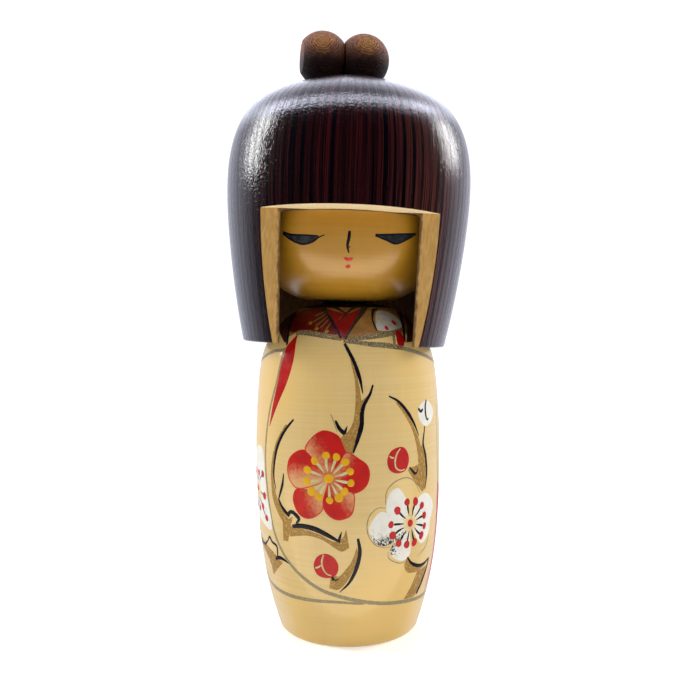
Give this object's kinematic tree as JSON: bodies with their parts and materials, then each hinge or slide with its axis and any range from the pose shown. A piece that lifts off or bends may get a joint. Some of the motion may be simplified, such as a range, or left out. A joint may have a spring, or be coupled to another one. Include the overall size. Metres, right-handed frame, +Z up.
{
  "type": "kokeshi doll",
  "caption": "Turned wooden kokeshi doll with a barrelled painted body and a turning head under a bored, bobbed hair shell with bead buns.",
  "frame": {"origin": "centre of the flat base on which the doll stands", "axes": "+Z up along the body, -Y is the way the face looks, +X is the doll's left"},
  "size_m": [0.0819, 0.0818, 0.1995],
  "materials": {
    "body_wood": "pale turned wood, painted and clear lacquered",
    "face_wood": "pale turned wood, golden with age, painted and clear lacquered",
    "hair_wood": "dark stained wood with charred stripes outside, semi-gloss lacquer; bare pale wood where it is sawn",
    "bun_wood": "brown stained wood with open grain, satin",
    "dowel_wood": "plain birch dowel"
  },
  "bodies": {
    "torso": {"body": "body_wood", "neck_peg": "dowel_wood"},
    "head": {"head_core": "face_wood", "crown_dowel": "dowel_wood", "hair_shell": "hair_wood", "bun_left": "bun_wood", "bun_right": "bun_wood", "bun_pin_left": "dowel_wood", "bun_pin_right": "dowel_wood"}
  },
  "joints": [
    {"name": "head_turn", "type": "hinge", "parent": "torso", "child": "head", "pos_m": [-0.0007, 0, 0.107], "axis": [0.0401, 0, 0.9992], "continuous": true}
  ]
}
